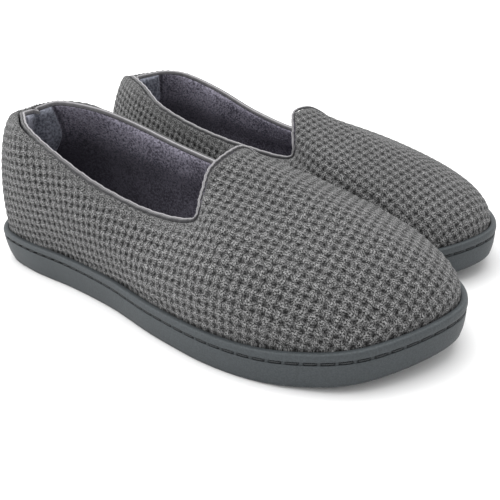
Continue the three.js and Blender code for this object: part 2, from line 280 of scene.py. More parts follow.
def upperNormal(u, v, four=loops):
    # direction out of the face: its run round crossed with its run upwards
    low, high = np.maximum(0, v - nearby["up"]), np.minimum(1, v + nearby["up"])
    around = bezier(four, u + nearby["round"], v) - bezier(four, u - nearby["round"], v)
    upwards = bezier(four, u, high) - bezier(four, u, low)
    return unit(np.cross(around, upwards))


def inside(u, v, depth, four=loops):
    # the face moved in along its own normal
    return bezier(four, u, v) - upperNormal(u, v, four) * np.asarray(depth)[..., None]


def collarFrame(u):
    # the collar's edge, the level direction into the mouth, and up square to the edge's run
    edge = closedCurve(loops[3], u)
    step = nearby["outline"]
    run = unit(closedCurve(loops[3], u + step) - closedCurve(loops[3], u - step))
    inwards = unit(np.stack([-run[..., 1], run[..., 0], 0 * run[..., 0]], -1))
    upwards = unit(np.cross(run, inwards))
    return edge, inwards, upwards


def evenColumns(count):
    # shares u that lie evenly along the knit a third of the way up
    fine = np.linspace(0, 1, 2001)
    run = distances(upperPoint(fine, np.full_like(fine, 0.35)))
    return np.interp(np.linspace(0, run[-1], count + 1), run, fine)


def belowCollar(u, v):
    # distance down the knit from the collar's edge, near enough
    return np.linalg.norm(upperPoint(u, v) - upperPoint(u, np.ones_like(v)), axis=-1)


def newObject(name, data):
    # an object in the scene around its data
    made = bpy.data.objects.new(name, data)
    bpy.context.scene.collection.objects.link(made)
    return made


def sideShift(side):
    # from the middle of the outline's box to the middle of the outsole's box
    outline = placed(plan(np.arange(40) / 40), side)
    low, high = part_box(side + "_outsole")
    middle = (np.array(low) + np.array(high))[:2] / 2 / mm
    return middle - (outline.min(0) + outline.max(0))[:2] / 2


def placed(points, side):
    # the left slipper is the mirror of the right one, turned a little
    points = np.array(points, float)
    if side == "left":
        turn = math.radians(pair["turn"])
        x, y = points[..., 0].copy(), -points[..., 1]
        points[..., 0] = x * math.cos(turn) - y * math.sin(turn)
        points[..., 1] = x * math.sin(turn) + y * math.cos(turn)
    return points


shifts = {side: sideShift(side) for side in ("right", "left")}


def gridMesh(name, side, points, uv=None, closedRows=False, closedColumns=False,
             caps=False, flip=False, extra=None, weld=False):
    # points is columns x rows x 3; a closed direction joins its last line to its first
    columns, rows = points.shape[:2]
    world = placed(points, side)
    world[..., :2] += shifts[side]
    index = np.arange(columns * rows).reshape(columns, rows)
    lastColumn = columns if closedColumns else columns - 1
    lastRow = rows if closedRows else rows - 1
    i, j = grid(np.arange(lastColumn), np.arange(lastRow))
    nextI, nextJ = (i + 1) % columns, (j + 1) % rows
    quads = np.stack([index[i, j], index[nextI, j], index[nextI, nextJ], index[i, nextJ]], -1)
    quads = quads.reshape(-1, 4)
    reverse = flip != (side == "left")
    faces = (quads[:, ::-1] if reverse else quads).tolist()
    if caps:
        first, last = index[0].tolist(), index[-1].tolist()
        faces += [first, last[::-1]] if not reverse else [first[::-1], last]
    mesh = bpy.data.meshes.new(name)
    mesh.from_pydata((world.reshape(-1, 3) * mm).tolist(), [], faces)
    mesh.shade_smooth()
    if uv is not None:
        # uv may have one more column and row than the points, to close without a jump
        layer = mesh.uv_layers.new(name="weave")
        wide, tall = uv.shape[:2]
        ni, nj = np.minimum(i + 1, wide - 1), np.minimum(j + 1, tall - 1)
        corners = np.stack([uv[i, j], uv[ni, j], uv[ni, nj], uv[i, nj]], -2).reshape(-1, 4, 2)
        corners = corners[:, ::-1] if reverse else corners
        flat = np.zeros((len(mesh.loops), 2))
        flat[:corners.size // 2] = corners.reshape(-1, 2)
        layer.data.foreach_set("uv", flat.astype(np.float32).ravel())
    for label, values in (extra or {}).items():
        attribute = mesh.attributes.new(label, "FLOAT", "POINT")
        attribute.data.foreach_set("value", values.astype(np.float32).ravel())
    if weld:
        # close the rows that end on a centre line
        shell = bmesh.new()
        shell.from_mesh(mesh)
        bmesh.ops.remove_doubles(shell, verts=shell.verts, dist=1e-6)
        shell.to_mesh(mesh)
        shell.free()
    piece = newObject(name, mesh)
    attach(piece, side + "_slipper")
    return piece


def finishPiece(piece, material, slotName, *nodes):
    # one piece's material and the solids it stands for; slotName is not used
    piece.data.materials.append(material)
    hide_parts(*nodes)
    return piece


class Nodes:
    # wires a material: each call adds its node and returns that node's output

    def __init__(self, name):
        self.material = bpy.data.materials.new(name)
        self.material.use_nodes = True
        self.tree = self.material.node_tree
        self.shader = self.tree.nodes["Principled BSDF"]

    def add(self, kind, **settings):
        node = self.tree.nodes.new(kind)
        for label, value in settings.items():
            setattr(node, label, value)
        return node

    def plug(self, socket, value):
        if isinstance(value, bpy.types.NodeSocket):
            self.tree.links.new(value, socket)
        elif value is not None:
            socket.default_value = value

    def fix(self, node, **constants):
        for label, value in constants.items():
            node.inputs[label.replace("_", " ")].default_value = value
        return node

    def math(self, operation, a, b=None, c=None):
        node = self.add("ShaderNodeMath", operation=operation)
        for socket, value in zip(node.inputs, (a, b, c)):
            self.plug(socket, value)
        return node.outputs[0]

    def attribute(self, name):
        return self.add("ShaderNodeAttribute", attribute_name=name).outputs["Fac"]

    def weave(self):
        return self.add("ShaderNodeUVMap", uv_map="weave").outputs["UV"]

    def where(self):
        return self.add("ShaderNodeTexCoord").outputs["Object"]

    def split(self, vector):
        node = self.add("ShaderNodeSeparateXYZ")
        self.plug(node.inputs[0], vector)
        return node.outputs["X"], node.outputs["Y"]

    def noise(self, vector, scale, detail=2.0, roughness=0.5):
        node = self.add("ShaderNodeTexNoise")
        self.plug(node.inputs["Vector"], vector)
        self.fix(node, Scale=scale, Detail=detail, Roughness=roughness)
        return node.outputs["Fac"]

    def wander(self, vector, scale, amount):
        # the place pushed about by coloured noise, up to half the amount each way
        cloud = self.fix(self.add("ShaderNodeTexNoise"), Scale=scale)
        self.plug(cloud.inputs["Vector"], vector)
        centred = self.add("ShaderNodeVectorMath", operation="SUBTRACT")
        self.plug(centred.inputs[0], cloud.outputs["Color"])
        centred.inputs[1].default_value = (0.5, 0.5, 0.5)
        pushed = self.add("ShaderNodeVectorMath", operation="MULTIPLY_ADD")
        self.plug(pushed.inputs[0], centred.outputs[0])
        pushed.inputs[1].default_value = (2 * amount, 2 * amount, 0)
        self.plug(pushed.inputs[2], vector)
        return pushed.outputs[0]

    def ramp(self, value, *stops):
        node = self.add("ShaderNodeValToRGB")
        self.plug(node.inputs[0], value)
        elements = node.color_ramp.elements
        while len(elements) < len(stops):
            elements.new(0.5)
        for element, (position, colour) in zip(elements, stops):
            element.position = position
            element.color = (*colour, 1) if isinstance(colour, tuple) else (colour,) * 3 + (1,)
        return node.outputs["Color"]

    def mix(self, share, a, b, blend="MIX"):
        node = self.add("ShaderNodeMix", data_type="RGBA", blend_type=blend)
        self.plug(node.inputs[0], share)
        for socket, value in zip((node.inputs[6], node.inputs[7]), (a, b)):
            self.plug(socket, (*value, 1) if isinstance(value, tuple) else value)
        return node.outputs[2]

    def bump(self, height, strength, distance, under=None):
        node = self.fix(self.add("ShaderNodeBump"), Strength=strength, Distance=distance)
        self.plug(node.inputs["Height"], height)
        self.plug(node.inputs["Normal"], under)
        return node.outputs["Normal"]

    def finish(self, colour, roughness, normal=None, **constants):
        self.plug(self.shader.inputs["Base Color"], colour)
        self.plug(self.shader.inputs["Roughness"], roughness)
        self.plug(self.shader.inputs["Normal"], normal)
        self.fix(self.shader, **constants)
        return self.material


knit = {
    "columns": 700, "rows": 128, "pitch": 4.2,
    "relief": 0.8, "sunk": 0.62, "crown": 0.7, "turn": 9, "wander": 0.07,
    "calmNear": 2, "calmFar": 11, "calmTongue": 5, "calmShare": 0.22, "calmInside": 0.2,
    "stretched": 0.2, "stretchedFrom": 110, "stretchedTo": 190, "uneven": 0.25,
    "foldRadius": 1.9, "gather": 0.35, "gatherPitch": 7, "gatherReach": 0.13, "gatherDown": 7,
    "seamDepth": 0.5, "seamWidth": 0.9, "clear": 0.15,
    "innerRows": (0.985, 0.93, 0.7, 0.4, 0.15, 0),
    "strayScale": 1.9, "stray": 0.17, "yarnScale": 3.4, "yarn": 1.1, "fuzzScale": 6.4,
    "cloudScale": 18,
    # the four colours run by height from painted shade in the waffle's hollows to a painted
    # highlight on its tops
    "paintedPitShade": (0.006, 0.006, 0.0063), "shade": (0.044, 0.044, 0.0444),
    "loop": (0.094, 0.094, 0.0945), "paintedHighlight": (0.16, 0.16, 0.1605),
}


def flatPattern(columns=120, rows=16, rounds=300):
    # the upper laid flat as it was cut: every edge of a coarse grid is a spring of its
    # real length, and the sheet is cut open at the back seam
    shares = np.linspace(0, 1, columns + 1), np.linspace(0, 1, rows + 1)
    u, v = grid(*shares)
    shape = upperPoint(u, v)
    index = np.arange(u.size).reshape(u.shape)
    springs = np.concatenate([
        np.stack([a.ravel(), b.ravel()], -1) for a, b in (
            (index[:-1], index[1:]), (index[:, :-1], index[:, 1:]),
            (index[:-1, :-1], index[1:, 1:]), (index[:-1, 1:], index[1:, :-1]))])
    one, other = springs.T
    solid = shape.reshape(-1, 3)
    rest = np.linalg.norm(solid[one] - solid[other], axis=1)
    pull = 1 / rest
    stiffness = np.zeros((u.size, u.size))
    for a, b, sign in ((one, one, 1), (other, other, 1), (one, other, -1), (other, one, -1)):
        np.add.at(stiffness, (a, b), sign * pull)
    ease = np.linalg.inv(stiffness + 1 / u.size)
    run = np.linalg.norm(np.diff(shape, axis=1), axis=2)
    climbed = np.concatenate([np.zeros((columns + 1, 1)), np.cumsum(run, 1)], 1)
    down = run.sum(1, keepdims=True) - climbed
    angle = np.interp(u[:, :1], (0, 0.3, 0.5, 0.7, 1), np.radians((-90, -90, 0, 90, 90)))
    lower = np.maximum(0, upper["tongueHeight"] - shape[:, -1:, 2])
    across = shape[:, -1:, 1] + np.sign(shape[:, -1:, 1]) * lower
    forward = shape[:, -1:, 0] + np.cos(angle) * down
    flat = np.stack([forward, across + np.sin(angle) * down], -1).reshape(-1, 2)
    for _ in range(rounds):
        gap = flat[one] - flat[other]
        want = gap / np.maximum(np.linalg.norm(gap, axis=1, keepdims=True), 1e-9)
        load = np.zeros_like(flat)
        np.add.at(load, one, want)
        np.add.at(load, other, -want)
        flat = ease @ load
    flat = flat.reshape(columns + 1, rows + 1, 2)
    axis = flat[columns // 2, 0] - flat[columns // 2, -1]
    angle = math.atan2(axis[1], axis[0]) + math.radians(knit["turn"])
    along, across = (np.array([math.cos(a), math.sin(a)]) for a in (angle, angle + math.pi / 2))
    return np.stack([flat @ along, flat @ across], -1)


def readFlat(flat, u, v):
    # the pattern's place at any u and v, linear between its grid points
    a, b = u * (flat.shape[0] - 1), v * (flat.shape[1] - 1)
    i = np.minimum(np.floor(a).astype(int), flat.shape[0] - 2)
    j = np.minimum(np.floor(b).astype(int), flat.shape[1] - 2)
    s, t = (a - i)[..., None], (b - j)[..., None]
    low = flat[i, j] * (1 - s) + flat[i + 1, j] * s
    high = flat[i, j + 1] * (1 - s) + flat[i + 1, j + 1] * s
    return low * (1 - t) + high * t


pattern = flatPattern() / knit["pitch"]
print("upper laid flat:", np.ptp(pattern.reshape(-1, 2), axis=0).round(1), "cells")


def wandered(cell):
    # the cells stray from straight rows: each way moves by two swaying sines of the other
    a, b = cell[..., 0], cell[..., 1]
    aside = np.sin(2.1 * b + 1.3 * np.sin(1.7 * a)) + np.sin(5.3 * b + 2 * np.sin(0.9 * a))
    along = np.sin(1.9 * a + 1.4 * np.sin(2.3 * b)) + np.sin(4.7 * a + 2 * np.sin(1.1 * b))
    return cell + 0.5 * knit["wander"] * np.stack([aside, along], -1)


def makeKnit(side):
    # rows up the outer face, over the fold and down inside; the waffle's height is the mean of
    # two cosines over the cells, brought to 0 to 1 and raised to the crown's power
    shareU = evenColumns(knit["columns"])
    arc = np.linspace(0, 1, 200)
    climbed = distances(upperPoint(np.full_like(arc, 0.4), arc))
    shareV = np.interp(np.linspace(0, climbed[-1], knit["rows"]), climbed, arc)
    u, v = grid(shareU, shareV)
    cell = wandered(readFlat(pattern, u, v))
    below = belowCollar(u, v)
    waves = np.cos(2 * np.pi * cell[..., 0]) + np.cos(2 * np.pi * cell[..., 1])
    waffle = (0.5 + 0.25 * waves) ** knit["crown"]
    # the waffle is pulled flat along the collar and a little over the toes
    quarter = smooth(0.4, 0.33, fromHeel(u))
    reach = blend(knit["calmTongue"], knit["calmFar"], quarter)
    free = smooth(0, 1, (below - knit["calmNear"]) / (reach - knit["calmNear"]))
    calm = blend(knit["calmShare"], 1, free)
    forward = smooth(knit["stretchedFrom"], knit["stretchedTo"], upperPoint(u, v)[..., 0])
    calm *= 1 - knit["stretched"] * forward
    lift = (waffle - knit["sunk"]) * knit["relief"] * calm
    # slight unevenness of hand lasting, gathers over the heel's padding, the back seam
    lift += knit["uneven"] * np.sin(u * 61 + 3 * v) * np.sin(v * 7 + 5 * u)
    heelTop = bell(fromHeel(u), knit["gatherReach"]) * bell(below, knit["gatherDown"])
    lift += knit["gather"] * heelTop * np.cos(2 * np.pi * u * wayRound / knit["gatherPitch"])
    seam = bell(fromHeel(u) * wayRound, knit["seamWidth"])
    lift -= knit["seamDepth"] * seam * smooth(2, 6, below)
    # the fold at the collar is a quarter circle
    radius = knit["foldRadius"]
    into = np.clip(radius - below, 0, radius)
    lift -= radius - np.sqrt(radius ** 2 - into ** 2)
    outer = upperPoint(u, v) + upperNormal(u, v) * lift[..., None]
    innerU, innerV = grid(shareU, np.array(knit["innerRows"]))
    inner = inside(innerU, innerV, np.full(innerU.shape, upper["knit"] + knit["clear"]))
    foot = inner[:, -1:].copy()
    outerFoot = outer[:, :1].copy()
    for edge in (foot, outerFoot):
        edge[..., 2] = midsoleTop(edge[..., 0]) + upper["footGap"]
    points = np.concatenate([outerFoot, outer, inner, foot], 1)
    innerCell = wandered(readFlat(pattern, innerU, innerV))
    uv = np.concatenate([cell[:, :1], cell, innerCell, innerCell[:, -1:], cell[:, :1]], 1)
    innerCalm = np.full((len(shareU), inner.shape[1] + 1), knit["calmInside"])
    calmAll = np.concatenate([calm[:, :1], calm, innerCalm], 1)
    return gridMesh(side + "_waffle_upper", side, points[:-1], uv,
                    closedRows=True, closedColumns=True, extra={"calm": calmAll[:-1]})


def knitMaterial():
    # waffle height from two cosines over the cells, yarn loops and fibres as finer noise; by that
    # height the colour runs from painted shade in the pits to a painted highlight on the loops'
    # tops
    n = Nodes("waffleKnit")
    weave = n.wander(n.weave(), knit["strayScale"], knit["stray"])
    across, along = n.split(weave)
    calm = n.attribute("calm")
    waves = [n.math("COSINE", n.math("MULTIPLY", axis, 2 * math.pi)) for axis in (across, along)]
    mean = n.math("MULTIPLY_ADD", n.math("ADD", *waves), 0.25, 0.5)
    waffle = n.math("POWER", mean, knit["crown"])
    yarn = n.noise(weave, knit["yarnScale"], 2, 0.6)
    fuzz = n.noise(n.weave(), knit["fuzzScale"], 2, 0.6)
    cloud = n.noise(n.where(), knit["cloudScale"], 3)
    height = n.math("MULTIPLY_ADD", n.math("SUBTRACT", yarn, 0.5), knit["yarn"], waffle)
    levelled = n.mix(calm, (knit["sunk"],) * 3, height)
    # painted shade in the pits and a painted highlight on the raised loops
    colour = n.ramp(levelled, (0.13, knit["paintedPitShade"]), (0.37, knit["shade"]),
                    (0.61, knit["loop"]), (1, knit["paintedHighlight"]))
    speckle = n.ramp(fuzz, (0.4, 0.03), (0.5, 0.43), (0.6, 1.0))
    colour = n.mix(1.0, colour, speckle, "OVERLAY")
    colour = n.mix(0.25, colour, n.ramp(cloud, (0.3, 0.4), (0.7, 0.65)), "OVERLAY")
    normal = n.bump(height, 0.8, 0.0008)
    normal = n.bump(fuzz, 0.8, 0.0005, normal)
    return n.finish(colour, 0.95, normal,
                    Sheen_Weight=0.12, Sheen_Roughness=0.5, Specular_IOR_Level=0.2)


piping = {
    "width": 2.7, "tongueWidth": 1.2, "height": 2.1, "columns": 900, "sides": 20,
    "gap": 0.15, "rise": 0.3, "cuspDepth": 3, "cuspWidth": 3.5,
    "ripples": ((0.12, 65), (0.08, 155)), "run": 520, "ribsAcross": 8,
    # the seam colour is painted shade in the gaps between the strands and beside the knit and the
    # lining
    "outer": (0.15, 0.148, 0.152), "inner": (0.45, 0.44, 0.455), "seam": (0.02, 0.02, 0.022),
}


def pipingWidth(u):
    # both strands' width round the opening, narrowing to the tongue's
    return blend(piping["tongueWidth"], piping["width"], smooth(0.37, 0.33, fromHeel(u)))


def makePiping(side):
    # two strands side by side, carried round the collar, their ends turned in at the back seam:
    # the section is two circles, each one's height the root of one less the square of its way
    u = np.arange(piping["columns"]) / piping["columns"]
    edge, inwards, upwards = collarFrame(u)
    width = pipingWidth(u)
    height = piping["height"] * (0.55 + 0.45 * width / piping["width"])
    cusp = piping["cuspDepth"] * bell(fromHeel(u) * wayRound, piping["cuspWidth"])
    ripple = sum(size * np.sin(u * 2 * np.pi * waves) for size, waves in piping["ripples"])
    centre = edge + inwards * (piping["gap"] + width / 2 + cusp + ripple)[:, None]
    centre += upwards * (0.35 * ripple + piping["rise"] - height * 0.3 - 0.3 * cusp)[:, None]
    angle = np.arange(piping["sides"]) / piping["sides"] * 2 * np.pi
    across = np.cos(angle)
    strand = np.maximum(0, 1 - (2 * np.abs(across) - 1) ** 2)
    up = np.sign(np.sin(angle)) * np.sqrt(0.1 * np.abs(np.sin(angle)) + strand) * 0.5
    points = centre[:, None] + inwards[:, None] * (width[:, None] / 2 * across)[..., None]
    points += upwards[:, None] * (height[:, None] * up)[..., None]
    length = np.arange(piping["columns"] + 1) * (piping["run"] / piping["columns"])
    girth = np.arange(piping["sides"] + 1) / piping["sides"] * piping["ribsAcross"]
    uv = np.stack(grid(length, girth), -1)
    # painted shade between the strands and where they meet the knit and the lining
    paintedGapShade = np.maximum.reduce([
        bell(across, 0.26), 0.9 * bell(across + 1, 0.3), 0.7 * bell(across - 1, 0.2)])
    paintedGapShade = np.tile(paintedGapShade, (len(u), 1))
    inner = np.tile(0.85 * smooth(-0.1, 0.4, across), (len(u), 1))
    inner = np.maximum(inner, smooth(0.34, 0.37, fromHeel(u))[:, None])
    return gridMesh(side + "_collar_piping_strands", side, points, uv, closedRows=True,
                    closedColumns=True, flip=True, extra={"paintedGapShade": paintedGapShade, "inner": inner})


def pipingMaterial():
    # slanted ribs from a sine over both ways, two yarns' colours, and painted shade between them
    # and where they meet the knit and the lining
    n = Nodes("pipingKnit")
    along, across = n.split(n.weave())
    slant = n.math("ADD", n.math("MULTIPLY", along, 7), n.math("MULTIPLY", across, 2.5))
    rib = n.math("SINE", slant)
    fuzz = n.noise(n.weave(), 3, 3)
    colour = n.mix(n.attribute("inner"), piping["outer"], piping["inner"])
    # painted shade in the gaps along the strands
    colour = n.mix(n.attribute("paintedGapShade"), colour, piping["seam"])
    colour = n.mix(0.35, colour, n.ramp(fuzz, (0.3, 0.3), (0.7, 0.75)), "OVERLAY")
    normal = n.bump(n.math("MULTIPLY_ADD", rib, 0.25, fuzz), 0.6, 0.0003)
    return n.finish(colour, 0.9, normal, Sheen_Weight=0.2, Specular_IOR_Level=0.25)


lining = {
    "columns": 360, "rows": 70, "endColumn": 0.35, "turnFrom": 0.62, "swell": 1.2,
    "backRows": (0.8, 0.7, 0.5, 0.3, 0.1, 0), "backPuff": 1.1, "backGap": 0.1, "footGap": 0.2,
    "tuckIn": 0.2, "tuckDown": 1.6, "underIn": 1.2, "underDown": 3.4,
    "crease": 0.086, "creaseWidth": 0.005, "brushed": 60, "pile": 950,
    "dark": (0.046, 0.0435, 0.057), "light": (0.27, 0.256, 0.312),
}


def liningDepth(u, v):
    # how far the lining lies inside the knit: thicker over the collar foam and the heel counter
    foam = smooth(0.35, 0.29, fromHeel(u)) * smooth(0.35, 0.7, v) * upper["foam"]
    counter = smooth(0.15, 0.12, fromHeel(u)) * smooth(0.66, 0.5, v) * upper["counter"]
    puff = smooth(0.37, 0.4, fromHeel(u)) * smooth(0.58, 0.46, v) * upper["puff"]
    return upper["underKnit"] + upper["lining"] + np.maximum.reduce([foam, counter, puff])


def liningFace(u, v, over=0.0):
    # up the inside of the upper, then over to the foot of the piping; on the way a padded swell
    # that follows the square of a sine
    edge, inwards, upwards = collarFrame(u)
    across = pipingWidth(u) + piping["gap"] - lining["tuckIn"]
    top = edge + inwards * across[..., None] - upwards * lining["tuckDown"]
    wall = inside(u, v, liningDepth(u, v) + over, plainLoops)
    wave = np.sin(np.pi * np.clip((v - 0.6) / 0.4, 0, 1)) ** 2
    swell = lining["swell"] * smooth(0.36, 0.3, fromHeel(u)) * wave
    top = top + inwards * (swell + over * smooth(0.97, 0.8, v))[..., None]
    return wall + (top - wall) * smooth(lining["turnFrom"], 1, v)[..., None]


def makeLining(side, name, first, last, columns):
    # a closed padded band: its face up to the piping, over the top, and down behind
    faceV = np.linspace(0.02, 1, lining["rows"])
    u, v = grid(np.linspace(first, last, columns), faceV)
    face = liningFace(u, v)
    backU, backV = grid(u[:, 0], np.array(lining["backRows"]))
    behind = smooth(0.15, 0.13, fromHeel(backU)) * smooth(0.56, 0.5, backV) * upper["counter"]
    puff = smooth(0.38, 0.4, fromHeel(backU)) * smooth(0.38, 0.25, backV) * lining["backPuff"]
    depth = upper["underKnit"] + lining["backGap"] + np.maximum(behind, puff)
    back = inside(backU, backV, depth, plainLoops)
    edge, inwards, upwards = collarFrame(u[:, :1])
    under = edge + inwards * lining["underIn"] - upwards * lining["underDown"]
    faceFoot, backFoot = face[:, :1].copy(), back[:, -1:].copy()
    for foot in (faceFoot, backFoot):
        foot[..., 2] = midsoleTop(foot[..., 0]) + upper["boardTop"] + lining["footGap"]
    points = np.concatenate([faceFoot, face, under, back, backFoot], 1)
    # painted shade, darker low down, most at the heel, and in the crease at the grip's edge
    shadow = smooth(0.9, 0.4, v) * (0.45 + 0.55 * bell(fromHeel(u), 0.22))
    crease = bell(fromHeel(u) - lining["crease"], lining["creaseWidth"])
    shadow = np.maximum(shadow, 0.8 * crease)
    # the back behind the knit and the foot take full painted shade
    hidden = np.ones((columns, points.shape[1] - u.shape[1] - 1))
    paintedShade = np.concatenate([np.ones_like(u[:, :1]), shadow, hidden], 1)
    return gridMesh(side + name, side, points, closedRows=True, caps=True, flip=True,
                    extra={"paintedShade": paintedShade})


def velourMaterial(name, dark, light, pile):
    # a quarter brushed patches and three quarters fine tufts, darkened by painted shade low in the
    # lining
    n = Nodes(name)
    where = n.where()
    brushed = n.noise(where, lining["brushed"], 4, 0.6)
    tuft = n.noise(where, pile, 3, 0.65)
    both = n.math("MULTIPLY_ADD", brushed, 0.25, n.math("MULTIPLY", tuft, 0.75))
    shade = n.ramp(both, (0.4, dark), (0.6, light))
    # painted shade: a darker copy of the pile's colour where the mesh asks for it
    shade = n.mix(n.attribute("paintedShade"), shade, tuple(0.6 * part for part in dark))
    normal = n.bump(tuft, 0.7, 0.0006)
    return n.finish(shade, 1.0, normal, Sheen_Weight=0.45, Sheen_Roughness=0.35,
                    Sheen_Tint=(0.8, 0.78, 0.88, 1), Specular_IOR_Level=0.1)


grip = {
    "half": 0.08, "low": 0.36, "lift": 0.3, "high": 0.97, "thick": 2.3, "columns": 120, "rows": 70,
    "tall": 70, "edge": 2.2, "proud": 0.1, "sunk": 0.3, "tufts": 0.12, "pile": 700,
    "dark": (0.08, 0.085, 0.105), "light": (0.25, 0.262, 0.308),
}


def makeGrip(side):
    # a plush patch on the heel's lining: its edge is a quarter circle, its tufts crossed sines
    shareU = np.linspace(-grip["half"], grip["half"], grip["columns"])
    u, upwards = grid(shareU, np.linspace(0, 1, grip["rows"]))
    low = grip["low"] + grip["lift"] * np.abs(u / grip["half"]) ** 3
    v = blend(low, grip["high"], upwards)
    edge = np.minimum.reduce([(grip["half"] - np.abs(u)) * wayRound,
                              (v - low) * grip["tall"], (grip["high"] - v) * grip["tall"]])
    rounded = np.sqrt(np.clip(1 - (1 - np.clip(edge / grip["edge"], 0, 1)) ** 2, 0, 1))
    rows = np.sin(u * 900 + 4 * np.sin(v * 60))
    tuft = grip["tufts"] * rows * np.sin(v * 130 + 3 * np.sin(u * 170))
    face = liningFace(u, v, grip["proud"] + (grip["thick"] + tuft) * rounded)
    back = liningFace(u, v, -grip["sunk"])
    points = np.concatenate([face, back[:, ::-1]], 1)
    return gridMesh(side + "_heel_grip_plush", side, points,
                    closedRows=True, caps=True, flip=True)


pad = {
    "columns": 240, "rings": 18, "thick": 6.2, "gap": 0.3, "edge": 0.6, "crown": 0.8, "dish": 0.9,
    "cupAt": 38, "cupReach": 40,
}


def spine(ringPoints, share):
    # a ring drawn towards its own centre line, keeping its heights' function of x
    mirror = ringPoints[(-np.arange(len(ringPoints))) % len(ringPoints)]
    middle = (ringPoints + mirror) / 2
    return ringPoints * (1 - share) + middle * share


def makePad(side):
    # a crowned insole: its edge is a half circle, its top rises with the root of the way in and
    # sinks with the square of it, and a bell cups it under the heel
    u = np.arange(pad["columns"]) / pad["columns"]
    inset = upper["inset"] + liningDepth(u, np.full_like(u, 0.02)) + pad["gap"]
    edge = plan(u) - planOut(u) * inset[:, None]
    edge = np.c_[edge, np.zeros(len(u))]
    shares = np.linspace(1, 0, pad["rings"])
    turn = np.linspace(0, np.pi, 9)[1:-1]
    out = np.c_[planOut(u), np.zeros(len(u))]
    bottom = np.stack([spine(edge, share) for share in shares], 1)
    wall = np.stack([edge - out * (pad["edge"] - pad["edge"] * np.sin(t)) for t in turn], 1)
    top = np.stack([spine(edge - out * pad["edge"], share) for share in shares[::-1]], 1)
    rim = np.linspace(0, 1, pad["rings"])
    crown = pad["crown"] * np.sqrt(rim) - pad["dish"] * rim ** 2
    heelCup = bell(top[..., 0] - pad["cupAt"], pad["cupReach"]) * rim
    rises = (0, pad["thick"] * (1 - np.cos(turn)) / 2, pad["thick"] + crown - heelCup)
    for part, rise in zip((bottom, wall, top), rises):
        part[..., 2] = midsoleTop(part[..., 0]) + upper["boardTop"] + pad["gap"] + rise
    points = np.concatenate([bottom, wall, top], 1)
    return gridMesh(side + "_insole_pad", side, points, closedColumns=True, weld=True)


def lengthRound(u):
    # way round the outline in millimetres
    fine = np.linspace(0, 1, 4001)
    return np.interp(u, fine, distances(plan(fine)))


stitch = {
    "pitch": 7.0, "bridge": 1.5, "radius": 0.42, "sides": 8, "columns": 1400,
    # a dark thread and the painted highlight along its twist
    "sunk": 0.55, "dive": 1.0, "colour": (0.01, 0.012, 0.014), "paintedHighlight": (0.03, 0.034, 0.037),
}

outsole = {
    "lipRound": 1.0, "bottomRound": 1.0, "belly": 0.35, "bulge": 0.22, "bridged": 0.75,
    "border": 4, "hollow": 1.9, "hollowRings": 14, "cupRings": 8, "mouth": 0.3,
    # the paler colour is wear on the bottom edge and painted highlight on the lip, the groove's
    # edges and up the wall
    "colour": (0.037, 0.0435, 0.0475), "wornAndLit": (0.063, 0.072, 0.077),
    # the darker colour is some dirt on the bottom edge and painted shade in the stitch groove and
    # under the lip
    "dirtAndShade": (0.005, 0.006, 0.007), "grain": 1400, "cloud": 25,
}


def bridgeAt(u):
    # 1 where the rubber bridges the stitch groove, between two stitches
    across = lengthRound(u) / stitch["pitch"] % 1
    near = np.minimum(across, 1 - across) * stitch["pitch"]
    return smooth(stitch["bridge"], stitch["bridge"] * 0.35, near)


